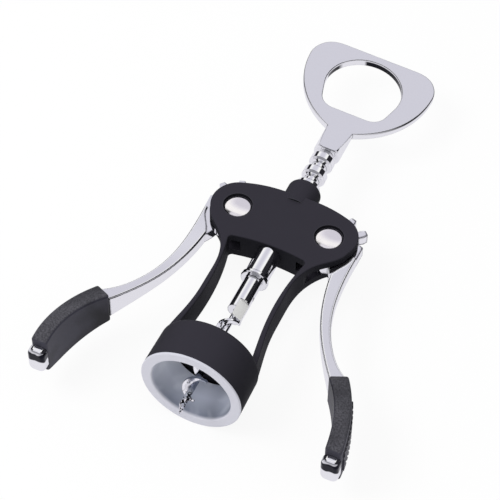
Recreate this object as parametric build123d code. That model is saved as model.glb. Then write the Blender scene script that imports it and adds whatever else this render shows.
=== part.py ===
from build123d import *
import math
import os

# A two-lever wing corkscrew lying on its back, in millimetres.
# The screw axis is Y, the bell's mouth is at y = 0 and +Z comes out of the front of the frame.

# Bell and bottle
bell_radius = 21.0
bell_height = 19.4
bell_wall = 3.1
bell_draft = 0.3
crown_rounding = 2.8
flange_thickness = 0.8
flange_corner = 0.3
liner_wall = 1.2
liner_taper = 2.4
liner_length = 15.7
web_thickness = 2.4
web_hole_radius = 9.5

# Frame casting
frame_depth = 12.6
frame_fillet = 0.9
leg_inner_x = 13.95
leg_width = 2.1
window_top_y = 73.4
window_corner = 1.6
shoulder_radius = 11.6
shoulder_rise = 0.9
shoulder_from = 70
front_shoulder_to = -28
back_shoulder_to = -52
plate_top_y = 102.4
collar_radius = 7.2
collar_length = 9.4
collar_rounding = 2.8

# Rack and gears: the teeth are spaced for twelve on a full circle
pivot_x = 20.1
pivot_y = 87.3
teeth_on_circle = 12
rack_pitch = 8.0
pressure_angle = 20
tooth_thickness = 3.2
tooth_backlash = 0.5
tooth_phase = 13
first_tooth = 1
last_tooth = 7
rack_radius = 5.2
rack_root_radius = 3.2
tip_clearance = 0.4
gear_root_radius = 12.2

# Fits
running_clearance = 0.06
slot_clearance = 0.3
washer_thickness = 0.5
washer_play = 0.06

# Levers: at rest they lean the same way, by about two thirds of the play in the teeth
lever_lean = 0.6
hub_thickness = 4.6
arm_depth_at_hub = 5.8
arm_depth_at_grip = 12.4
lever_reach = 95.8
tang_inset = 1.9
tang_depth = 7.0
grip_depth_at_arm = 14.4
grip_depth_middle = 21.4
grip_depth_at_tip = 16.4
grip_rib_count = 10
pad_height = 0.7
pad_start = 70.0
pad_end = 93.0
pad_slant = 28
tip_length = 3.8
tip_width = 7.2
tip_depth = 12.0
tip_corner = 2.6

# Pivot pins
pin_radius = 2.5
pin_head_radius = 5.2
pin_head_height = 1.9
recess_radius = 6.1
recess_depth = 1.6

# Spindle, screw and opener
spindle_bottom_y = 60.4
stop_ring_radius = 5.9
stop_ring_width = 1.8
stop_ring_play = 0.1
chuck_radius = 3.8
journal_radius = 3.3
spigot_radius = 2.9
chuck_end_y = 37.8
chuck_notch_y = 42.0
chuck_flat_y = 46.0
chuck_flat_height = 2.9
chuck_flat_turn = 39
worm_core_radius = 1.25
worm_blade_radius = 4.05
worm_pitch = 10.15
blade_foot_angle = 52
blade_edge_angle = 32
blade_start_angle = -26
worm_grind_y = -0.6
worm_tip_y = -11.0
worm_tip_x = 0.6
worm_tip_radius = 0.12
worm_shank_top_y = 54.0
neck_radius = 5.9
neck_bottom_y = 132.3
neck_socket_depth = 7.5
neck_spigot_radius = 2.6
head_thickness = 3.4
head_bottom_y = 146.8
head_top_y = 193.2
head_half_width = 28.6
head_widest_y = 181.0
head_bevel = 0.5
head_turn = 4.4
opener_radius = 16.8
opener_centre_y = 172.7
opener_lip_y = 157.0
opener_lip_corner = 7.0

# Sizes that follow from those above
liner_mouth_radius = bell_radius - bell_wall - liner_wall
gear_pitch_radius = teeth_on_circle * rack_pitch / (2 * math.pi)
rack_pitch_radius = pivot_x - gear_pitch_radius
gear_base_radius = gear_pitch_radius * math.cos(math.radians(pressure_angle))
gear_tip_radius = pivot_x - rack_root_radius - tip_clearance
bore_radius = rack_radius + running_clearance
slot_half = hub_thickness / 2 + washer_thickness + washer_play
half_depth = frame_depth / 2
tooth_step = 360 / teeth_on_circle
recess_floor = half_depth - recess_depth
collar_top_y = plate_top_y + collar_length
worm_start_y = chuck_end_y - 0.05
grip_end_y = pivot_y - lever_reach


def polar(radius, degrees, x=0.0, y=0.0):
    """A point at this distance and direction from (x, y)."""
    angle = math.radians(degrees)
    return (x + radius * math.cos(angle), y + radius * math.sin(angle))


def turned(points):
    """A solid turned about the screw axis from (radius, y) corners."""
    face = make_face(Polyline([(r, y) for r, y in points], close=True))
    return revolve(face, Axis.Y, 360)


def rod_y(radius, low, high, x=0.0, z=0.0):
    start = Plane(origin=(x, low, z), x_dir=(1, 0, 0), z_dir=(0, 1, 0))
    return extrude(start * Circle(radius), high - low)


def rod_z(radius, low, high, x=0.0, y=0.0):
    return Pos(x, y, low) * extrude(Circle(radius), high - low)


def slab(face, depth):
    """A flat face of the XY plane made into a plate centred on it."""
    return extrude(face, depth / 2, both=True)


def mirrored(solid):
    return mirror(solid, Plane.YZ)


def softened(solid, edges, radius):
    """The largest edge rounding up to radius that the shape takes."""
    for share in (1.0, 0.7, 0.45, 0.25):
        try:
            rounded = fillet(edges, radius * share)
            if rounded.is_valid:
                return rounded
        except Exception:
            continue
    print("edges left sharp:", len(edges))
    return solid


# Frame

waist_x = leg_inner_x + leg_width
front_flank = [(pivot_x + 7.7, pivot_y - 9.4), (pivot_x + 2.1, pivot_y - 14.8),
               (waist_x + 2.5, pivot_y - 20.1)]
back_flank = [(pivot_x + 3.2, pivot_y - 11.1), (pivot_x + 0.8, pivot_y - 14.3),
              (waist_x + 2.7, pivot_y - 18.3)]


def plate_outline(shoulder_to, flank_points):
    """The front view without the window, from the collar round the shoulders down the legs."""
    centre = (pivot_x, pivot_y + shoulder_rise)
    foot = (bell_radius - 1.3, bell_height - 4)
    outer_top = Spline(
        [(0, plate_top_y), (12, plate_top_y - 0.4), polar(shoulder_radius, shoulder_from, *centre)],
        tangents=[(1, 0), polar(1, shoulder_from - 90)])
    shoulder = CenterArc(centre, shoulder_radius, shoulder_from, shoulder_to - shoulder_from)
    flank = Spline([
        polar(shoulder_radius, shoulder_to, *centre), *flank_points,
        (waist_x + 0.4, 60.5), (waist_x, 50.0), (waist_x + 0.15, 40.0), (waist_x + 1.4, 30.0),
        (waist_x + 2.9, 22.0), foot])
    base = Line(foot, (0, foot[1]))
    spine = Line((0, foot[1]), (0, plate_top_y))
    half = make_face([outer_top, shoulder, flank, base, spine])
    return half + mirror(half, Plane.YZ)


def window_face():
    """The opening between the legs, wider at both ends, under a flat arch."""
    corner = (leg_inner_x + 3.0, window_top_y - 1.8)
    foot_y = bell_height - 5
    side = [corner, (leg_inner_x + 0.8, 60.0), (leg_inner_x, 46.0), (leg_inner_x + 0.6, 35.0),
            (leg_inner_x + 1.9, 25.0), (leg_inner_x + 3.6, foot_y)]
    half = make_face([
        ThreePointArc((0, window_top_y), (corner[0] / 2, window_top_y - 0.45), corner),
        Spline(side),
        Line(side[-1], (0, foot_y)),
        Line((0, foot_y), (0, window_top_y)),
    ])
    half = fillet(max(half.vertices(), key=lambda v: v.X + v.Y), window_corner)
    return half + mirror(half, Plane.YZ)


def frame_plate():
    """The casting of shoulders and legs before the bell and bores, slimmer at the slots' back."""
    window = window_face()
    front_face = plate_outline(front_shoulder_to, front_flank) - window
    back_face = plate_outline(back_shoulder_to, back_flank) - window
    front = extrude(front_face, half_depth + slot_half)
    back = extrude(back_face, half_depth - slot_half)
    plate = Pos(0, 0, -slot_half) * front + Pos(0, 0, -half_depth) * back
    rims = plate.edges().filter_by(lambda e: abs(abs(e.center().Z) - half_depth) < 1e-3)
    return softened(plate, rims, frame_fillet)


def bell_shell():
    """A turned cup with a rounded crown and a round hole through its web."""
    bore = bell_radius - bell_wall
    section = make_face(Polyline([
        (bore, flange_thickness),
        (bell_radius, flange_thickness),
        (bell_radius - bell_draft, bell_height),
        (web_hole_radius, bell_height),
        (web_hole_radius, bell_height - web_thickness),
        (bore, bell_height - web_thickness),
    ], close=True))
    section = fillet(max(section.vertices(), key=lambda v: v.X + v.Y), crown_rounding)
    return revolve(section, Axis.Y, 360)


def slot_cutter():
    """The space the gears and the roots of the levers swing in, at the right."""
    disc = at_pivot(rod_z(gear_tip_radius + slot_clearance, -slot_half, slot_half))
    pocket = at_pivot(rod_z(gear_tip_radius + 5.2, -slot_half, slot_half))
    outside = Pos(waist_x + leg_width, pivot_y - 20, 0) * Box(
        34, 24, frame_depth, align=(Align.MIN, Align.CENTER, Align.CENTER))
    return disc + (pocket & outside)


def pivot_cutter():
    hole = rod_z(pin_radius, -half_depth, half_depth)
    front = rod_z(recess_radius, recess_floor, half_depth + 1)
    back = rod_z(recess_radius, -half_depth - 1, -recess_floor)
    return at_pivot(hole + front + back)


def frame_body():
    collar = rod_y(collar_radius, plate_top_y - collar_radius / 2, collar_top_y)
    collar = softened(collar, collar.edges().group_by(Axis.Y)[-1], collar_rounding)
    cavity = rod_y(bell_radius - bell_wall, 0, bell_height - web_thickness)
    solid = frame_plate() + bell_shell() + collar
    solid -= cavity
    solid -= rod_y(bore_radius, window_top_y - 6, collar_top_y + 1)
    for cutter in (slot_cutter(), pivot_cutter()):
        solid -= cutter
        solid -= mirrored(cutter)
    return solid


def bell_liner():
    bore = bell_radius - bell_wall
    back = liner_mouth_radius - liner_taper
    profile = [
        (liner_mouth_radius, 0.4),
        (liner_mouth_radius + 0.4, 0),
        (bell_radius - flange_corner, 0),
        (bell_radius, flange_corner),
        (bell_radius, flange_thickness),
        (bore, flange_thickness),
        (bore, flange_thickness + 3),
        (liner_mouth_radius + liner_wall - 0.6, flange_thickness + 3),
        (back + liner_wall, liner_length),
        (back, liner_length),
    ]
    return turned(profile)


# Pivots

def pin_dome(base, height):
    """A domed rivet head lying on z = base, spherical above a short rim."""
    rim = 0.5
    dome = height - rim
    sphere_radius = (pin_head_radius ** 2 + dome ** 2) / (2 * dome)
    centre = base + height - sphere_radius
    ball = Pos(0, 0, centre) * Sphere(sphere_radius)
    return rod_z(pin_head_radius, base, base + height) & ball


def pivot_pin():
    """The front head and shank; its thin end enters the rear cap."""
    shank = rod_z(pin_radius, -recess_floor, recess_floor)
    stem = rod_z(pin_radius - 0.9, -recess_floor - 1.2, -recess_floor)
    return shank + stem + pin_dome(recess_floor, pin_head_height)


def pivot_cap():
    cap = Rot(0, 180, 0) * pin_dome(recess_floor, pin_head_height)
    return cap - rod_z(pin_radius - 0.9, -recess_floor - 1.2, -recess_floor)


def lever_washers():
    ring = Circle(pin_radius + 2.6) - Circle(pin_radius + 0.08)
    low = hub_thickness / 2 + washer_play / 2
    front = Pos(0, 0, low) * extrude(ring, washer_thickness)
    back = Pos(0, 0, -low - washer_thickness) * extrude(ring, washer_thickness)
    return Compound([front, back])


# Levers

def involute_angle(radius):
    """Degrees the involute flank has leant over at this radius."""
    if radius <= gear_base_radius:
        return 0.0
    roll = math.sqrt((radius / gear_base_radius) ** 2 - 1)
    return math.degrees(roll - math.atan(roll))


def flank_point(radius, side, centre_angle):
    half_at_pitch = math.degrees(tooth_thickness / 2 / gear_pitch_radius)
    lean = involute_angle(gear_pitch_radius) - involute_angle(radius)
    return polar(radius, centre_angle + side * (half_at_pitch + lean))


def gear_tooth(index):
    """One involute tooth of the right gear, sunk a little into the hub disc."""
    angle = tooth_phase + index * tooth_step
    radii = [gear_base_radius, gear_base_radius + 0.8, gear_tip_radius - 0.6, gear_tip_radius]
    foot = gear_root_radius - 1
    rising = [flank_point(r, -1, angle) for r in radii]
    falling = [flank_point(r, 1, angle) for r in reversed(radii)]
    low = flank_point(foot, -1, angle)
    high = flank_point(foot, 1, angle)
    tip = RadiusArc(rising[-1], falling[0], -gear_tip_radius)
    return make_face([
        Line(low, rising[0]),
        Spline(rising),
        tip,
        Spline(falling),
        Line(falling[-1], high),
        Line(high, low),
    ])


# Outlines of the right lever, measured from its pivot

grip_outer_arc = [(33.0, -60.7), (41.0, -78.0), (44.3, -lever_reach)]
grip_inner_arc = [(26.0, -64.3), (34.1, -78.5), (37.5, -lever_reach)]


def on_grip_start(share):
    """A point on the line across the start of the grip, from its outer to its inner edge."""
    (outer_x, outer_y), (inner_x, inner_y) = grip_outer_arc[0], grip_inner_arc[0]
    return (outer_x + (inner_x - outer_x) * share, outer_y + (inner_y - outer_y) * share)


outer_edge = [(13.4, -3.3), (13.4, -18.3), (16.0, -35.4), (21.7, -48.6), (26.7, -55.7),
              on_grip_start(0.06)]
inner_edge = [(7.1, -16.9), (8.9, -27.6), (12.9, -40.3), (19.4, -53.1), on_grip_start(0.94)]


def at_pivot(solid):
    return Pos(pivot_x, pivot_y, 0) * solid


def hub_plate():
    """The gear disc, its teeth and the root that reaches out of the slot."""
    root = make_face([
        Spline([(4.5, -11.7), (5.9, -14.9), inner_edge[0]]),
        Line(inner_edge[0], (inner_edge[0][0] + 3, -16.8)),
        Line((inner_edge[0][0] + 3, -16.8), outer_edge[0]),
        Line(outer_edge[0], (13.6, 3.3)),
        Line((13.6, 3.3), (12.3, 3.9)),
        Line((12.3, 3.9), (0, 4)),
        Line((0, 4), (4.5, -11.7)),
    ])
    outline = Circle(gear_root_radius) + root
    for index in range(first_tooth, last_tooth + 1):
        outline += gear_tooth(index)
    return slab(outline, hub_thickness)


def depth_profile(stations, reach=70):
    """A plate lying along X whose depth in Z follows (y, depth) stations down the lever."""
    front = [(y, depth / 2) for y, depth in stations]
    back = [(y, -depth / 2) for y, depth in reversed(stations)]
    side = Plane(origin=(0, 0, 0), x_dir=(0, 1, 0), z_dir=(1, 0, 0))
    face = make_face([
        Spline(front),
        Line(front[-1], back[0]),
        Spline(back),
        Line(back[-1], front[0]),
    ])
    return extrude(side * face, reach, both=True)


def arm_bar():
    """The bow-shaped arm: its front view crossed with its widening depth."""
    crease_end = (outer_edge[0][0] - 1.3, outer_edge[0][1])
    front_view = make_face([
        Spline([inner_edge[0], (8.4, -12.5), (11.2, -7.6), crease_end]),
        Line(crease_end, outer_edge[0]),
        Spline(outer_edge),
        Line(outer_edge[-1], inner_edge[-1]),
        Spline(inner_edge),
    ])
    stations = [
        (3.0, arm_depth_at_hub - 0.2),
        (-25.0, arm_depth_at_hub),
        (-47.0, arm_depth_at_hub + 1.0),
        (-65.4, arm_depth_at_grip),
    ]
    bar = slab(front_view, 30) & depth_profile(stations)
    return softened(bar, bar.edges().filter_by(lambda e: e.length > 50), 0.8)


def grip_outline(inset, end_y):
    """The front view of the grip, or of what lies inside it when inset is above zero."""
    outer = [(x - inset, y) for x, y in grip_outer_arc]
    inner = [(x + inset, y) for x, y in grip_inner_arc]
    outer[2] = (outer[2][0], end_y)
    inner[2] = (inner[2][0], end_y)
    return make_face([
        ThreePointArc(*outer),
        Line(outer[2], inner[2]),
        ThreePointArc(*reversed(inner)),
        Line(inner[0], outer[0]),
    ])


def tang():
    """The flat core of the lever inside the grip, ending in the tip cap."""
    return slab(grip_outline(tang_inset, -lever_reach - tip_length / 2), tang_depth)


def grip_pad():
    """The raised strip along the outer side of the grip, with slanting ribs."""
    low = [(x - 1.5, y) for x, y in grip_outer_arc]
    high = [(x + pad_height, y) for x, y in grip_outer_arc]
    surface = ThreePointArc(*high)
    band = make_face([
        surface,
        Line(high[2], low[2]),
        ThreePointArc(*reversed(low)),
        Line(low[0], high[0]),
    ])
    length = pad_end - pad_start
    pad = slab(band, grip_depth_at_arm - 3) & (
        Pos(grip_outer_arc[1][0], -(pad_start + pad_end) / 2, 0) * Box(30, length, 30))
    lean = math.radians(pad_slant)
    for index in range(grip_rib_count):
        share = (pad_start + length * (index + 0.5) / grip_rib_count + grip_outer_arc[0][1]) / (
            lever_reach + grip_outer_arc[0][1])
        place = surface @ share
        along = surface % share
        way = (along.X * math.sin(lean), along.Y * math.sin(lean), math.cos(lean))
        groove = Plane(origin=(place.X + 0.1, place.Y, 0), z_dir=way) * Circle(0.5)
        pad -= extrude(groove, 14, both=True)
    return pad


def grip():
    stations = [
        (-58.0, grip_depth_at_arm - 1),
        (-66.0, grip_depth_at_arm + 2.6),
        (-82.0, grip_depth_middle),
        (-91.0, grip_depth_middle - 1),
        (-lever_reach - 1, grip_depth_at_tip),
    ]
    body = slab(grip_outline(0, -lever_reach), 40) & depth_profile(stations)
    body = softened(body, body.edges(), 1.1) + grip_pad()
    return body - tang()


def tip_cap():
    """The bright rounded end of the lever below the grip."""
    middle_x = (grip_outer_arc[2][0] + grip_inner_arc[2][0]) / 2
    block = Pos(middle_x, -lever_reach - tip_length / 2, 0) * Box(tip_width, tip_length, tip_depth)
    block = softened(block, block.edges().filter_by(Axis.Y), tip_corner)
    block = softened(block, block.edges().group_by(Axis.Y)[0], 1.6)
    return block - tang()


def lever():
    pin_hole = rod_z(pin_radius + running_clearance, -10, 10)
    return hub_plate() + arm_bar() + tang() - pin_hole


# Spindle and screw

def rack_spindle():
    """Turned bar whose ring grooves are the rack, with a socket below for the chuck."""
    slope = math.tan(math.radians(pressure_angle))
    groove_at_pitch = tooth_thickness + tooth_backlash
    half_crest = groove_at_pitch / 2 + (rack_radius - rack_pitch_radius) * slope
    half_root = groove_at_pitch / 2 - (rack_pitch_radius - rack_root_radius) * slope
    mesh_arc = math.radians(tooth_phase) * gear_pitch_radius
    first = pivot_y - mesh_arc - rack_pitch
    crest_break = 0.7
    points = [(0, spindle_bottom_y), (rack_radius - 0.3, spindle_bottom_y),
              (rack_radius, spindle_bottom_y + 0.3)]
    groove_count = int((neck_bottom_y - first) / rack_pitch)
    for index in range(groove_count):
        middle = first + index * rack_pitch
        points += [
            (rack_radius, middle - half_crest - crest_break * 0.8),
            (rack_radius - crest_break, middle - half_crest + crest_break * slope),
            (rack_root_radius, middle - half_root),
            (rack_root_radius, middle + half_root),
            (rack_radius - crest_break, middle + half_crest - crest_break * slope),
            (rack_radius, middle + half_crest + crest_break * 0.8),
        ]
    relief = first + groove_count * rack_pitch
    points += [
        (rack_radius, relief - half_crest - crest_break * 0.8),
        (rack_radius - crest_break, relief - half_crest),
        (rack_root_radius, relief - half_root),
    ]
    top = neck_bottom_y + neck_socket_depth
    points += [(rack_root_radius, neck_bottom_y), (neck_spigot_radius, neck_bottom_y),
               (neck_spigot_radius, top), (0, top)]
    bar = turned(points)
    return bar - rod_y(spigot_radius, spindle_bottom_y, spindle_bottom_y + 12)


def stop_ring():
    low = spindle_bottom_y - stop_ring_play - stop_ring_width
    inner = journal_radius + running_clearance
    return turned([
        (inner, low),
        (stop_ring_radius - 0.4, low),
        (stop_ring_radius, low + 0.4),
        (stop_ring_radius, low + stop_ring_width - 0.4),
        (stop_ring_radius - 0.4, low + stop_ring_width),
        (inner, low + stop_ring_width),
    ])


def level(y, x=0.0):
    """A plane across the screw at this height."""
    return Plane(origin=(x, y, 0), x_dir=(1, 0, 0), z_dir=(0, 1, 0))


def worm_section():
    """Across the screw: the core with one blade, which narrows towards its edge."""
    foot = [polar(worm_core_radius, side * blade_foot_angle / 2) for side in (-1, 1)]
    edge = [polar(worm_blade_radius, side * blade_edge_angle / 2) for side in (-1, 1)]
    blade = make_face([
        Line((0, 0), foot[0]),
        Line(foot[0], edge[0]),
        RadiusArc(edge[0], edge[1], -worm_blade_radius),
        Line(edge[1], foot[1]),
        Line(foot[1], (0, 0)),
    ])
    return Circle(worm_core_radius) + blade


def worm():
    """A solid core with a right-hand blade round it, ground to a point beside its axis."""
    length = worm_start_y - worm_tip_y
    start = Plane(origin=(0, worm_start_y, 0), x_dir=(1, 0, 0), z_dir=(0, -1, 0))
    section = (start * Rot(0, 0, blade_start_angle) * worm_section()).face()
    screw = Solid.extrude_linear_with_rotation(
        section, (0, worm_start_y, 0), (0, -length, 0), 360 * length / worm_pitch)
    around = worm_blade_radius + 0.05
    tip = level(worm_tip_y, worm_tip_x) * Circle(worm_tip_radius)
    cone = loft([tip, level(worm_grind_y) * Circle(around)], ruled=True)
    kept = cone + rod_y(around, worm_grind_y, worm_start_y + 1)
    shank = rod_y(worm_core_radius, worm_start_y - 0.5, worm_shank_top_y)
    return (screw & kept) + shank


def side_cutter(top_y, height, turn):
    """A block that planes the chuck's lower end down to this height, on the side at turn."""
    length = top_y - chuck_end_y + 1
    block = Box(12, length, 6, align=(Align.CENTER, Align.MAX, Align.MIN))
    return Rot(0, turn, 0) * Pos(0, top_y, height) * block


def worm_chuck():
    """Holds the worm: a journal for the stop ring, a body and a half-round tongue."""
    ring_low = spindle_bottom_y - 2 * stop_ring_play - stop_ring_width
    body = turned([
        (0, chuck_end_y),
        (chuck_radius - 0.4, chuck_end_y),
        (chuck_radius, chuck_end_y + 0.4),
        (chuck_radius, ring_low - 0.3),
        (chuck_radius - 0.3, ring_low),
        (journal_radius, ring_low),
        (journal_radius, spindle_bottom_y),
        (spigot_radius, spindle_bottom_y),
        (spigot_radius, spindle_bottom_y + 11.5),
        (0, spindle_bottom_y + 11.5),
    ])
    body -= side_cutter(chuck_notch_y, 0, -90)
    body -= side_cutter(chuck_flat_y, chuck_flat_height, chuck_flat_turn)
    return body - rod_y(worm_core_radius, chuck_end_y - 1, worm_shank_top_y)


def worm_pin_rod(radius):
    spot = Plane(origin=(0, worm_shank_top_y - 4, 0), z_dir=(1, 0, 0))
    return extrude(spot * Circle(radius), chuck_radius - 0.05, both=True)


# Opener

def head_outline():
    """The rounded triangle of the opener, symmetric about the screw axis."""
    corner = 9.5
    top_x = head_half_width - corner - 1.6
    side = (head_half_width, head_widest_y)
    step = (5.7, head_bottom_y)
    lower = ThreePointArc(step, (19.6, 157.3), side)
    round_corner = Spline([side, (26.6, 188.6), (top_x, head_top_y)],
                          tangents=[(0.12, 1), (-1, 0.05)])
    top = Line((top_x, head_top_y), (0, head_top_y))
    spine = Line((0, head_top_y), (0, head_bottom_y))
    base = Line((0, head_bottom_y), step)
    half = make_face([lower, round_corner, top, spine, base])
    return half + mirror(half, Plane.YZ)


def opener_hole():
    """Round above and squared below, so that its straight lip catches a crown cap."""
    lean = 15
    side_x, side_y = polar(opener_radius, -lean, 0, opener_centre_y)
    lip_x = side_x - (side_y - opener_lip_y) * math.tan(math.radians(lean))
    lower = make_face(Polyline([(-side_x, side_y), (side_x, side_y), (lip_x, opener_lip_y),
                                (-lip_x, opener_lip_y)], close=True))
    lower = fillet(lower.vertices().group_by(Axis.Y)[0], opener_lip_corner)
    above_lip = Pos(0, opener_lip_y) * Rectangle(60, 60, align=(Align.CENTER, Align.MIN))
    return (Pos(0, opener_centre_y) * Circle(opener_radius) & above_lip) + lower


def opener_neck():
    """A round stem whose two faces are milled to slope into the flat head."""
    stem = rod_y(neck_radius, neck_bottom_y, head_bottom_y + 1.5)
    stem = softened(stem, stem.edges().group_by(Axis.Y)[0], 1.0)
    high = neck_radius - 1.3
    low = head_thickness / 2
    wedge = make_face(Polyline([
        (neck_bottom_y, high), (neck_bottom_y, 12), (head_bottom_y + 3, 12),
        (head_bottom_y + 3, low), (head_bottom_y, low)], close=True))
    side = Plane(origin=(0, 0, 0), x_dir=(0, 1, 0), z_dir=(1, 0, 0))
    cutter = extrude(side * wedge, 20, both=True)
    return stem - cutter - mirror(cutter, Plane.XY)


def opener_head():
    plate = slab(head_outline() - opener_hole(), head_thickness)
    rims = plate.edges().filter_by(
        lambda e: abs(abs(e.center().Z) - head_thickness / 2) < 1e-3)
    plate = softened(plate, rims, head_bevel)
    solid = plate + opener_neck()
    socket = turned([
        (0, neck_bottom_y - 1),
        (neck_spigot_radius, neck_bottom_y - 1),
        (neck_spigot_radius, neck_bottom_y + neck_socket_depth),
        (0, neck_bottom_y + neck_socket_depth),
    ])
    return Rot(0, head_turn, 0) * (solid - socket)


def build_all():
    pin_hole = worm_pin_rod(0.8)
    screw = worm()
    return {
        "frame_body": frame_body(),
        "bell_liner": bell_liner(),
        "rack_spindle": rack_spindle(),
        "stop_ring": stop_ring(),
        "opener_head": opener_head(),
        "worm_chuck": worm_chuck() - pin_hole,
        "worm_pin": pin_hole,
        "worm": screw - pin_hole,
    }


os.makedirs("parts", exist_ok=True)
right_hand = {
    "pivot_pin": pivot_pin(),
    "pivot_cap": pivot_cap(),
    "lever_washers": lever_washers(),
    "lever": lever(),
    "grip": grip(),
    "tip_cap": tip_cap(),
}
pieces = build_all()
for name, solid in right_hand.items():
    pieces["right_" + name] = at_pivot(Rot(0, 0, lever_lean) * solid)
    pieces["left_" + name] = mirrored(at_pivot(Rot(0, 0, -lever_lean) * solid))
for name, solid in pieces.items():
    export_step(solid, os.path.join("parts", name + ".step"))
    print(name, round(sum(s.volume for s in solid.solids())))
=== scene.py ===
import math

import bpy
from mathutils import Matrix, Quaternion, Vector


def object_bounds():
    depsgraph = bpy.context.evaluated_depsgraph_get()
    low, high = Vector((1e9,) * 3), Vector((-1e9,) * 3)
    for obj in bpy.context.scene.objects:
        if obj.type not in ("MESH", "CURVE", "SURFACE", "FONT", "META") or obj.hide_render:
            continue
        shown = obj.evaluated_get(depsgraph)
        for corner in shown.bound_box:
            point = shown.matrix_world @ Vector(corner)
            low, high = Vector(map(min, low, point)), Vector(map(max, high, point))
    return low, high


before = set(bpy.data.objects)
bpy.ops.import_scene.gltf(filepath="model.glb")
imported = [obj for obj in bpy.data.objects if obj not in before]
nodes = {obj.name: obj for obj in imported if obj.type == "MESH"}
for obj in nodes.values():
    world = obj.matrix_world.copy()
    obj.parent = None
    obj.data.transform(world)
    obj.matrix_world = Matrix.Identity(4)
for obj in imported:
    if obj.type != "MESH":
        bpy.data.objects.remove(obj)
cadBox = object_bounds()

scene = bpy.context.scene
mm = 0.001
print("frame loaded:", len(nodes), "nodes")


# shader node helpers; tree is the node tree they build in

def newMaterial(name):
    material = bpy.data.materials.new(name)
    material.use_nodes = True
    tree = material.node_tree
    return material, tree, tree.nodes["Principled BSDF"]


def addNode(tree, kind, inputs=None, **settings):
    node = tree.nodes.new(kind)
    for key, value in settings.items():
        setattr(node, key, value)
    for key, value in (inputs or {}).items():
        node.inputs[key].default_value = value
    return node


def objectPoint(tree):
    return addNode(tree, "ShaderNodeTexCoord").outputs["Object"]


def objectNormal(tree):
    return addNode(tree, "ShaderNodeTexCoord").outputs["Normal"]


def separate(tree, vector):
    parts = addNode(tree, "ShaderNodeSeparateXYZ")
    tree.links.new(vector, parts.inputs[0])
    return parts.outputs


def along(tree, vector, way):
    # how far a vector points that way
    node = addNode(tree, "ShaderNodeVectorMath", {1: way}, operation="DOT_PRODUCT")
    tree.links.new(vector, node.inputs[0])
    return node.outputs["Value"]


def changeSpace(tree, normal, start, end):
    node = addNode(tree, "ShaderNodeVectorTransform", vector_type="NORMAL",
                   convert_from=start, convert_to=end)
    tree.links.new(normal, node.inputs[0])
    return node.outputs[0]


def calculate(tree, operation, first, second=0.0):
    node = addNode(tree, "ShaderNodeMath", operation=operation)
    for socket, value in ((0, first), (1, second)):
        if isinstance(value, (int, float)):
            node.inputs[socket].default_value = value
        else:
            tree.links.new(value, node.inputs[socket])
    return node.outputs[0]


def multiply(tree, *values):
    result = values[0]
    for value in values[1:]:
        result = calculate(tree, "MULTIPLY", result, value)
    return result


def remap(tree, value, low, high, start, end):
    node = addNode(tree, "ShaderNodeMapRange", {
        "From Min": start, "From Max": end, "To Min": low, "To Max": high})
    tree.links.new(value, node.inputs["Value"])
    return node.outputs["Result"]


def rise(tree, value, start, end):
    return remap(tree, value, 0, 1, start, end)


def fall(tree, value, start, end):
    return remap(tree, value, 1, 0, start, end)


def noise(tree, point, scale, detail, roughness=0.5, distortion=0.0):
    node = addNode(tree, "ShaderNodeTexNoise", {
        "Scale": scale, "Detail": detail, "Roughness": roughness, "Distortion": distortion})
    tree.links.new(point, node.inputs["Vector"])
    return node.outputs["Fac"]


def blendColours(tree, share, first, second):
    # inputs 6 and 7 and output 2 of a mix node are its colours
    node = addNode(tree, "ShaderNodeMix", data_type="RGBA")
    for socket, colour in ((6, first), (7, second)):
        if isinstance(colour, tuple):
            node.inputs[socket].default_value = (*colour, 1)
        else:
            tree.links.new(colour, node.inputs[socket])
    tree.links.new(share, node.inputs[0])
    return node.outputs[2]


def ramp(tree, value, places):
    node = addNode(tree, "ShaderNodeValToRGB")
    stops = node.color_ramp.elements
    while len(stops) < len(places):
        stops.new(1)
    for stop, (place, colour) in zip(stops, places):
        stop.position = place
        stop.color = (*colour, 1)
    tree.links.new(value, node.inputs[0])
    return node.outputs[0]


def addBump(tree, shader, height, strength, depth):
    node = addNode(tree, "ShaderNodeBump", {"Strength": strength, "Distance": depth})
    tree.links.new(height, node.inputs["Height"])
    tree.links.new(node.outputs["Normal"], shader.inputs["Normal"])


def faceShare(tree):
    # 1 on faces that lie flat, 0 on upright ones
    return calculate(tree, "ABSOLUTE", separate(tree, objectNormal(tree))["Z"])


edgeFinder = {
    "samples": 6,
    "reach": (0.90, 0.985),     # likeness of the rounded and the true normal, edge and open face
    "wayReach": (-0.05, 0.2),   # how far an edge turns towards a way, from not marked to fully
}


def edgeLine(tree, width, reach=edgeFinder["reach"], way=None):
    # 1 along edges, 0 on open faces; with a way, only on edges that turn towards it
    rounded = addNode(tree, "ShaderNodeBevel", {"Radius": width}, samples=edgeFinder["samples"])
    likeness = addNode(tree, "ShaderNodeVectorMath", operation="DOT_PRODUCT")
    tree.links.new(rounded.outputs[0], likeness.inputs[0])
    plain = addNode(tree, "ShaderNodeNewGeometry").outputs["Normal"]
    tree.links.new(plain, likeness.inputs[1])
    line = fall(tree, likeness.outputs["Value"], *reach)
    if way is None:
        return line
    local = changeSpace(tree, rounded.outputs[0], "WORLD", "OBJECT")
    return multiply(tree, line, rise(tree, along(tree, local, way), *edgeFinder["wayReach"]))


def setColour(tree, shader, colour):
    tree.links.new(colour, shader.inputs["Base Color"])


def coverWith(tree, shader, share, colour):
    # lays a colour over what the shader has so far
    below = shader.inputs["Base Color"].links[0].from_socket
    setColour(tree, shader, blendColours(tree, share, below, colour))


def dress(material, *names):
    for name in names:
        mesh = nodes[name].data
        mesh.materials.clear()
        mesh.materials.append(material)


# chrome plate, shared by all bright pieces; its dark and pale areas are fixed to the surface,
# in place of reflections, so they stay where they are in any light

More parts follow.
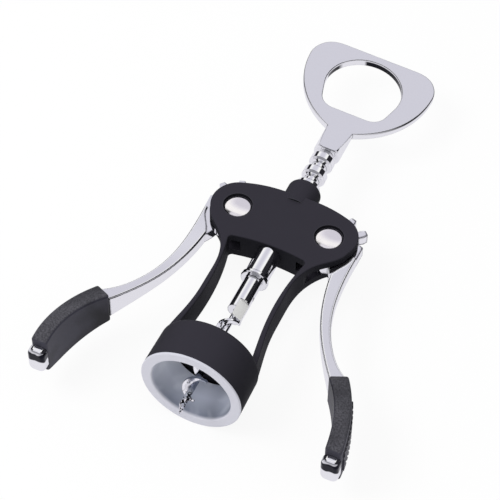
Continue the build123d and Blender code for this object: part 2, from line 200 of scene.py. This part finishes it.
chrome = {
    "tint": (0.92, 0.92, 0.93),
    "roughness": (0.05, 0.13),      # polished, smudged
    "smudgeScale": 55,
    "smudgeReach": (0.40, 0.75),
    "rippleScale": 900,
    "rippleStrength": 0.02,
    "rippleDepth": 0.02 * mm,
    "edge": (0.03, 0.03, 0.04),     # a dark line along edges, a painted reflection
    "edgeWidth": 0.55 * mm,
    "edgeReach": (0.88, 0.975),
    "edgeWay": None,                # None darkens every edge
    "paleWay": None,                # edges that turn this way get a painted pale reflection and are not metal
}


def plate(name, look):
    material, tree, shader = newMaterial(name)
    point = objectPoint(tree)
    shader.inputs["Metallic"].default_value = 1
    # the dark edge line and the pale edges are painted reflections
    line = edgeLine(tree, look["edgeWidth"], look["edgeReach"], look["edgeWay"])
    setColour(tree, shader, blendColours(tree, line, look["tint"], look["edge"]))
    # pale edges are a painted reflection, pale and not metal
    if look["paleWay"]:
        pale = edgeLine(tree, look["edgeWidth"], look["edgeReach"], look["paleWay"])
        coverWith(tree, shader, pale, look["pale"])
        tree.links.new(fall(tree, pale, 0, 1), shader.inputs["Metallic"])
    smudges = noise(tree, point, look["smudgeScale"], detail=4)
    tree.links.new(remap(tree, smudges, *look["roughness"], *look["smudgeReach"]),
                   shader.inputs["Roughness"])
    ripple = noise(tree, point, look["rippleScale"], detail=2)
    addBump(tree, shader, ripple, look["rippleStrength"], look["rippleDepth"])
    return material, tree, shader


# levers: their dark and pale edge lines are painted reflections

lever = {
    **chrome,
    "edge": (0.012, 0.012, 0.018),
    "edgeWidth": 1.0 * mm,
    "edgeReach": (0.92, 0.975),
    "edgeWay": (1, 0, 0),
}

rightLever = {
    **lever,
    "edgeWidth": 1.5 * mm,
    "edgeReach": (0.94, 0.985),
    "paleWay": (-1, 0, 0),
    "pale": (0.84, 0.84, 0.88),
}

dress(plate("leverChrome", lever)[0], "left_lever")
dress(plate("rightLeverChrome", rightLever)[0], "right_lever")
print("levers plated")

# rack spindle and its stop ring

spindle = {
    **chrome,
    "edgeWidth": 0.9 * mm,
    "edgeReach": (0.82, 0.95),
}

dress(plate("spindleChrome", spindle)[0], "rack_spindle", "stop_ring")
print("spindle plated")

# tip caps: a dark band with a wandering border, a painted reflection, runs round the upper half
# of their walls

tipCap = {
    **chrome,
    "band": (0.012, 0.012, 0.018),
    "bandFrom": 0.6 * mm,       # heights of the band over the cap's middle
    "bandTo": 4.9 * mm,
    "bandBlur": 0.4 * mm,
    "wallReach": (0.7, 0.9),
    "wander": 0.8 * mm,         # how far the border strays up and down
    "wanderScale": 240,
    "wanderReach": (0.2, 0.8),
}


def makeCapChrome(look):
    material, tree, shader = plate("capChrome", look)
    point = objectPoint(tree)
    cloud = noise(tree, point, look["wanderScale"], detail=1)
    wander = remap(tree, cloud, -look["wander"], look["wander"], *look["wanderReach"])
    height = calculate(tree, "ADD", separate(tree, point)["Z"], wander)
    band = multiply(
        tree,
        rise(tree, height, look["bandFrom"], look["bandFrom"] + look["bandBlur"]),
        fall(tree, height, look["bandTo"], look["bandTo"] + look["bandBlur"]),
        fall(tree, faceShare(tree), *look["wallReach"]))
    coverWith(tree, shader, band, look["band"])
    return material


dress(makeCapChrome(tipCap), "left_tip_cap", "right_tip_cap")
print("tip caps plated")

# rivets: shallow domes that mirror as if they were flatter

rivet = {
    **chrome,
    "tint": (0.93, 0.90, 0.90),
    "roughness": (0.10, 0.20),
    "smudgeScale": 300,
    "flatness": 0.50,       # how much of the dome's curve the reflections leave out
    "domeReach": (0.6, 0.75),
}


def makeRivetChrome(look):
    material, tree, shader = plate("rivetChrome", look)
    normal = objectNormal(tree)
    side = calculate(tree, "SIGN", separate(tree, normal)["Z"])
    outward = addNode(tree, "ShaderNodeCombineXYZ")
    tree.links.new(side, outward.inputs["Z"])
    # inputs 4 and 5 and output 1 of a mix node are its vectors
    flatter = addNode(tree, "ShaderNodeMix", data_type="VECTOR")
    share = remap(tree, faceShare(tree), 0, look["flatness"], *look["domeReach"])
    tree.links.new(share, flatter.inputs[0])
    tree.links.new(normal, flatter.inputs[4])
    tree.links.new(outward.outputs[0], flatter.inputs[5])
    polished = changeSpace(tree, flatter.outputs[1], "OBJECT", "WORLD")
    tree.links.new(polished, shader.inputs["Normal"])
    return material


dress(makeRivetChrome(rivet),
      "left_pivot_pin", "right_pivot_pin", "left_pivot_cap", "right_pivot_cap")
print("rivets plated")

# chuck: turned and plated; its milled flat is pale and not metal, in place of a reflection

chuck = {
    **chrome,
    # the flat's pale colour is a painted reflection
    "milled": (0.90, 0.90, 0.89),
    "flatWay": (0.629, 0, 0.777),
    "flatReach": (0.985, 0.995),
    "flatTop": (46.2 * mm, 46.5 * mm),
}


def makeChuckChrome(look):
    material, tree, shader = plate("chuckChrome", look)
    height = separate(tree, objectPoint(tree))["Y"]
    facing = along(tree, objectNormal(tree), look["flatWay"])
    milled = multiply(tree, rise(tree, facing, *look["flatReach"]),
                      fall(tree, height, *look["flatTop"]))
    coverWith(tree, shader, milled, look["milled"])
    tree.links.new(fall(tree, milled, 0, 1), shader.inputs["Metallic"])
    return material


dress(makeChuckChrome(chuck), "worm_chuck")
print("chuck plated")

# opener head: bright plate; its rim and two arcs of the hole's wall are dark,
# in place of reflections

head = {
    **chrome,
    "edgeWidth": 0.9 * mm,
    "edgeReach": (0.84, 0.96),
    "turned": 4.4,                  # degrees round the screw's axis
    "dull": (0.012, 0.012, 0.016),
    "holeCentre": 172.7 * mm,
    "holeRadius": (17.6 * mm, 17.9 * mm),
    "holeWallReach": (0.5, 0.7),
    "arcs": ((12, 110), (143, 178)),        # degrees round the hole
    "arcBlur": (8, 4),
    "arcTop": (0.8 * mm, 1.2 * mm),
    "rimWallReach": (0.90, 0.98),
    "rimFoot": (0.70 * mm, 0.85 * mm),      # the rim is painted dark above this, a painted reflection
    "rimStart": (148 * mm, 163 * mm),       # and away from the neck
}


def makeHeadChrome(look):
    material, tree, shader = plate("headChrome", look)
    point = separate(tree, objectPoint(tree))
    turned = math.radians(look["turned"])
    height = calculate(tree, "ADD",     # above the middle of the plate
                       multiply(tree, point["Z"], math.cos(turned)),
                       multiply(tree, point["X"], math.sin(turned)))
    up = calculate(tree, "SUBTRACT", point["Y"], look["holeCentre"])
    angle = calculate(tree, "ARCTAN2", up, point["X"])
    distance = calculate(tree, "SQRT", calculate(
        tree, "ADD", multiply(tree, up, up), multiply(tree, point["X"], point["X"])))

    holeWall = multiply(tree, fall(tree, faceShare(tree), *look["holeWallReach"]),
                        fall(tree, distance, *look["holeRadius"]))
    arcs = 0.0
    for start, end in look["arcs"]:
        arc = multiply(
            tree,
            rise(tree, angle, math.radians(start), math.radians(start + look["arcBlur"][0])),
            fall(tree, angle, math.radians(end - look["arcBlur"][1]), math.radians(end)))
        arcs = calculate(tree, "ADD", arcs, arc)
    dullWall = multiply(tree, holeWall, fall(tree, height, *look["arcTop"]), arcs)

    outerWall = calculate(tree, "SUBTRACT",
                          fall(tree, faceShare(tree), *look["rimWallReach"]), holeWall)
    dullRim = multiply(tree, outerWall, rise(tree, height, *look["rimFoot"]),
                       rise(tree, point["Y"], *look["rimStart"]))
    coverWith(tree, shader, calculate(tree, "MAXIMUM", dullWall, dullRim), look["dull"])
    return material


dress(makeHeadChrome(head), "opener_head")
print("opener head plated")

# worm: bright blade; a core painted dark inside the bell and dark flecks on the point,
# both painted reflections

worm = {
    **chrome,
    "tint": (0.96, 0.96, 0.98),
    "roughness": (0.08, 0.16),
    "smudgeScale": 200,
    "edge": (0.02, 0.02, 0.025),
    "edgeWidth": 0.45 * mm,
    "edgeReach": (0.86, 0.97),
    "core": (0.25, 0.27, 0.34),
    "coreReach": (0.25, 0.5),
    "coreFrom": (-2 * mm, 1 * mm),      # the core is painted dark between these heights
    "coreTo": (19 * mm, 26 * mm),
    "fleck": (0.012, 0.012, 0.018),
    "fleckScale": 1000,
    "fleckReach": (0.53, 0.56),
}


def makeWormSteel(look):
    material, tree, shader = plate("wormSteel", look)
    point = objectPoint(tree)
    height = separate(tree, point)["Y"]
    slope = calculate(tree, "ABSOLUTE", separate(tree, objectNormal(tree))["Y"])
    core = multiply(tree, fall(tree, slope, *look["coreReach"]),
                    rise(tree, height, *look["coreFrom"]), fall(tree, height, *look["coreTo"]))
    coverWith(tree, shader, core, look["core"])
    grind = noise(tree, point, look["fleckScale"], detail=1)
    flecks = multiply(tree, rise(tree, grind, *look["fleckReach"]),
                      fall(tree, height, *look["coreFrom"]))
    coverWith(tree, shader, flecks, look["fleck"])
    return material


dress(makeWormSteel(worm), "worm", "worm_pin")
print("worm ground")

# satin black paint of the casting, its upright walls painted darker as shade, and lighter along
# the edges of its flat faces, partly wear and partly a painted highlight

paint = {
    "face": (0.031, 0.029, 0.039),
    # upright walls are painted darker, as shade
    "wall": (0.012, 0.012, 0.016),
    "faceReach": (0.2, 0.95),
    # lighter along edges, partly wear and partly a painted highlight
    "worn": (0.060, 0.058, 0.070),
    "wornWidth": 0.5 * mm,
    "wornReach": (0.3, 0.7),
    "roughness": (0.6, 0.72),
    "cloudScale": 90,
    "cloudReach": (0.3, 0.7),
    "gloss": 0.08,
    "peelScale": 1400,
    "peelStrength": 0.12,
    "peelDepth": 0.05 * mm,
}


def makeBlackPaint(look):
    material, tree, shader = newMaterial("blackPaint")
    shader.inputs["Specular IOR Level"].default_value = look["gloss"]
    point = objectPoint(tree)
    flat = rise(tree, faceShare(tree), *look["faceReach"])
    setColour(tree, shader, blendColours(tree, flat, look["wall"], look["face"]))
    worn = multiply(tree, edgeLine(tree, look["wornWidth"]),
                    rise(tree, faceShare(tree), *look["wornReach"]))
    coverWith(tree, shader, worn, look["worn"])
    cloud = noise(tree, point, look["cloudScale"], detail=4)
    tree.links.new(remap(tree, cloud, *look["roughness"], *look["cloudReach"]),
                   shader.inputs["Roughness"])
    peel = noise(tree, point, look["peelScale"], detail=1)
    addBump(tree, shader, peel, look["peelStrength"], look["peelDepth"])
    return material


dress(makeBlackPaint(paint), "frame_body")
print("casting painted")

# liner: pale flange, and a cone inside with fixed shading, darker near the mouth and on one side

liner = {
    "flange": (0.61, 0.61, 0.68),
    "mouth": ((0.60, 0.62, 0.71), (0.20, 0.22, 0.28)),      # pale side, dark side
    "cone": ((0.88, 0.91, 0.97), (0.50, 0.53, 0.63)),
    "flangeDepth": (0.3 * mm, 1.5 * mm),
    "mouthDepth": (2 * mm, 9 * mm),
    "darkWay": (0.35, 0, -0.94),
    "darkReach": (-8 * mm, 16 * mm),
    "cloudShare": 0.3,
    "cloudScale": 75,
    "cloudReach": (0.35, 0.62),
    "roughness": 0.30,
    "grainScale": 2500,
    "grainStrength": 0.1,
    "grainDepth": 0.03 * mm,
}


def makeLinerPlastic(look):
    material, tree, shader = newMaterial("linerPlastic")
    shader.inputs["Roughness"].default_value = look["roughness"]
    point = objectPoint(tree)
    depth = separate(tree, point)["Y"]
    clouds = noise(tree, point, look["cloudScale"], detail=2, distortion=0.6)
    clouds = remap(tree, clouds, -look["cloudShare"], look["cloudShare"], *look["cloudReach"])
    shade = calculate(
        tree, "ADD", rise(tree, along(tree, point, look["darkWay"]), *look["darkReach"]), clouds)
    cone = blendColours(tree, rise(tree, depth, *look["mouthDepth"]),
                        blendColours(tree, shade, *look["mouth"]),
                        blendColours(tree, shade, *look["cone"]))
    inside = rise(tree, depth, *look["flangeDepth"])
    setColour(tree, shader, blendColours(tree, inside, look["flange"], cone))
    grain = noise(tree, point, look["grainScale"], detail=1)
    addBump(tree, shader, grain, look["grainStrength"], look["grainDepth"])
    return material


dress(makeLinerPlastic(liner), "bell_liner")
print("liner moulded")

# grips: black rubber, grained front and back, smoother sides painted darker as shade, and a
# painted highlight along the edges

grip = {
    "face": ((0.016, 0.016, 0.020), (0.098, 0.096, 0.112)),     # dark, pale
    # the sides are painted darker than the faces, as shade
    "side": ((0.007, 0.007, 0.010), (0.040, 0.039, 0.055)),
    "faceReach": (0.6, 0.9),
    # a painted highlight along edges
    "edge": (0.10, 0.10, 0.115),
    "edgeWidth": 0.4 * mm,
    "grainScale": 1500,
    "grainReach": (0.36, 0.66),
    "grainLeast": 0.25,             # share of the pale colour between the grains
    "mottleScale": 45,
    "mottleReach": (0.38, 0.6),
    "mottleLeast": 0.35,
    "sideReach": (0.4, 0.62),
    "roughness": (0.45, 0.62),      # sides, faces
    "gloss": 0.2,
    "bumpStrength": 0.6,
    "bumpDepth": 0.15 * mm,
    "sideBump": 0.12,               # share of the bump that the sides get
}


def makeGripRubber(look):
    material, tree, shader = newMaterial("gripRubber")
    shader.inputs["Specular IOR Level"].default_value = look["gloss"]
    point = objectPoint(tree)
    front = rise(tree, faceShare(tree), *look["faceReach"])
    grain = noise(tree, point, look["grainScale"], detail=3, roughness=0.7)
    mottle = noise(tree, point, look["mottleScale"], detail=2)
    spots = multiply(tree, remap(tree, grain, look["grainLeast"], 1, *look["grainReach"]),
                     remap(tree, mottle, look["mottleLeast"], 1, *look["mottleReach"]))
    side = blendColours(tree, rise(tree, mottle, *look["sideReach"]), *look["side"])
    face = blendColours(tree, spots, *look["face"])
    setColour(tree, shader, blendColours(tree, front, side, face))
    coverWith(tree, shader, edgeLine(tree, look["edgeWidth"]), look["edge"])
    tree.links.new(remap(tree, front, *look["roughness"], 0, 1), shader.inputs["Roughness"])
    height = multiply(tree, grain, remap(tree, front, look["sideBump"], 1, 0, 1))
    addBump(tree, shader, height, look["bumpStrength"], look["bumpDepth"])
    return material


dress(makeGripRubber(grip), "left_grip", "right_grip")
print("grips moulded")

# washers between the levers and the casting

washer = {
    "pale": (0.72, 0.71, 0.67),
    "dark": (0.62, 0.61, 0.57),
    "roughness": (0.4, 0.55),
    "cloudScale": 300,
    "cloudReach": (0.3, 0.7),
}


def makeWasherNylon(look):
    material, tree, shader = newMaterial("washerNylon")
    cloud = noise(tree, objectPoint(tree), look["cloudScale"], detail=3)
    share = rise(tree, cloud, *look["cloudReach"])
    setColour(tree, shader, blendColours(tree, share, look["pale"], look["dark"]))
    tree.links.new(remap(tree, cloud, *look["roughness"], *look["cloudReach"]),
                   shader.inputs["Roughness"])
    return material


dress(makeWasherNylon(washer), "left_lever_washers", "right_lever_washers")
print("washers moulded")

# white floor that keeps a soft shadow

floorLook = {
    "size": 6.0,
    "middle": (0, 0.09),
    "paint": (0.9, 0.9, 0.9, 1),
    "roughness": 0.9,
    "plainWhite": 0.9,                  # share that shows plain white instead of lit paint
    "white": (1.0, 1.0, 1.0),
    "mirrored": (0.80, 0.79, 0.85),     # what metal sees of the floor
}


def whiteShare(tree, path):
    # 1 for camera, glossy and transmission rays, 0 for the rest
    share = calculate(tree, "MAXIMUM", path["Is Camera Ray"], path["Is Glossy Ray"])
    return calculate(tree, "MAXIMUM", share, path["Is Transmission Ray"])


def mixShaders(tree, share, first, second):
    node = addNode(tree, "ShaderNodeMixShader")
    tree.links.new(share, node.inputs[0])
    tree.links.new(first, node.inputs[1])
    tree.links.new(second, node.inputs[2])
    return node.outputs[0]


def makeFloor(look):
    bpy.ops.mesh.primitive_plane_add(size=look["size"], location=(*look["middle"], cadBox[0][2]))
    floor = bpy.context.object
    floor.name = "floor"
    material, tree, shader = newMaterial("floorWhite")
    shader.inputs["Base Color"].default_value = look["paint"]
    shader.inputs["Roughness"].default_value = look["roughness"]
    shader.inputs["Specular IOR Level"].default_value = 0
    path = addNode(tree, "ShaderNodeLightPath").outputs
    glow = addNode(tree, "ShaderNodeEmission", {"Strength": 1.0})
    seen = blendColours(tree, path["Is Glossy Ray"], look["white"], look["mirrored"])
    tree.links.new(seen, glow.inputs["Color"])
    share = multiply(tree, whiteShare(tree, path), look["plainWhite"])
    surface = mixShaders(tree, share, shader.outputs[0], glow.outputs[0])
    tree.links.new(surface, tree.nodes["Material Output"].inputs["Surface"])
    floor.data.materials.append(material)


makeFloor(floorLook)
print("floor laid")

# studio: plain white light, and for metal a round bright panel with a black ring round it

studio = {
    "light": 0.8,
    "panelWay": (-0.1145, 0.763, 0.636),
    "panel": (              # cosine of the angle from the panel's middle, colour
        (0.000, (0.022, 0.022, 0.027)),
        (0.795, (0.020, 0.019, 0.024)),
        (0.815, (1.00, 1.00, 1.00)),
        (0.890, (0.98, 0.98, 0.98)),
        (0.935, (0.80, 0.795, 0.86)),
        (0.965, (0.665, 0.658, 0.735)),
    ),
    "ringReach": (0.28, 0.38),      # cosine at which the black ring ends
    "ringLean": 0.2,                # the ring is narrower to the left
    "around": (             # sine of the height above the horizon, colour away from the panel
        (0.00, (0.62, 0.61, 0.66)),
        (0.42, (0.66, 0.65, 0.70)),
        (0.56, (0.28, 0.28, 0.31)),
        (0.87, (0.28, 0.28, 0.31)),
        (0.91, (0.76, 0.75, 0.82)),
    ),
    "overhead": (0.87, 0.91),       # the part overhead covers the ring, but not the panel
    "panelRim": (0.79, 0.83),
}


def makeStudio(look):
    world = bpy.data.worlds.new("studio")
    world.use_nodes = True
    scene.world = world
    tree = world.node_tree
    path = addNode(tree, "ShaderNodeLightPath").outputs

    plain = tree.nodes["Background"]
    plain.inputs["Color"].default_value = (1, 1, 1, 1)
    strength = remap(tree, whiteShare(tree, path), look["light"], 1.0, 0, 1)
    tree.links.new(strength, plain.inputs["Strength"])

    direction = addNode(tree, "ShaderNodeTexCoord").outputs["Generated"]
    parts = separate(tree, direction)
    toPanel = along(tree, direction, look["panelWay"])
    lean = multiply(tree, calculate(tree, "MINIMUM", parts["X"], 0), look["ringLean"])
    near = rise(tree, calculate(tree, "ADD", toPanel, lean), *look["ringReach"])
    overhead = multiply(tree, rise(tree, parts["Z"], *look["overhead"]),
                        fall(tree, toPanel, *look["panelRim"]))
    near = calculate(tree, "SUBTRACT", near, calculate(tree, "MINIMUM", overhead, near))
    sky = blendColours(tree, near, ramp(tree, parts["Z"], look["around"]),
                       ramp(tree, toPanel, look["panel"]))
    mirrored = addNode(tree, "ShaderNodeBackground")
    tree.links.new(sky, mirrored.inputs["Color"])
    surface = mixShaders(tree, path["Is Glossy Ray"], plain.outputs[0], mirrored.outputs[0])
    tree.links.new(surface, tree.nodes["World Output"].inputs["Surface"])


makeStudio(studio)
print("studio built")

# one soft lamp

keyBox = {
    "place": (-0.45, -0.25, 0.75),
    "aim": (0, 0.09, 0),
    "size": (0.5, 0.35),
    "power": 3.5,
}


def addSoftbox(name, look):
    lamp = bpy.data.lights.new(name, "AREA")
    lamp.shape = "RECTANGLE"
    lamp.size, lamp.size_y = look["size"]
    lamp.energy = look["power"]
    holder = bpy.data.objects.new(name, lamp)
    scene.collection.objects.link(holder)
    holder.location = look["place"]
    way = Vector(look["aim"]) - Vector(look["place"])
    holder.rotation_euler = way.to_track_quat("-Z", "Y").to_euler()
    holder.visible_glossy = False       # metal mirrors the panel alone


addSoftbox("keyBox", keyBox)
print("lamp placed")

# camera

camera = {
    "target": (-0.0079, 0.0725, 0),
    "distance": 0.8053,
    "azimuth": 23.77,       # degrees, as are the next two
    "elevation": 51.02,
    "roll": 0.78,
    "lens": 144,
    "sensor": 36,
}


def makeCamera(look):
    data = bpy.data.cameras.new("camera")
    data.lens = look["lens"]
    data.sensor_width = look["sensor"]
    holder = bpy.data.objects.new("camera", data)
    scene.collection.objects.link(holder)
    azimuth, elevation = math.radians(look["azimuth"]), math.radians(look["elevation"])
    back = Vector((math.sin(azimuth) * math.cos(elevation),
                   -math.cos(azimuth) * math.cos(elevation),
                   math.sin(elevation)))
    holder.location = Vector(look["target"]) + back * look["distance"]
    roll = Quaternion((0, 0, 1), math.radians(look["roll"]))
    holder.rotation_mode = "QUATERNION"
    holder.rotation_quaternion = (-back).to_track_quat("-Z", "Y") @ roll
    scene.camera = holder


makeCamera(camera)
scene.view_settings.view_transform = "Standard"
print("camera set")

print("scene ready")
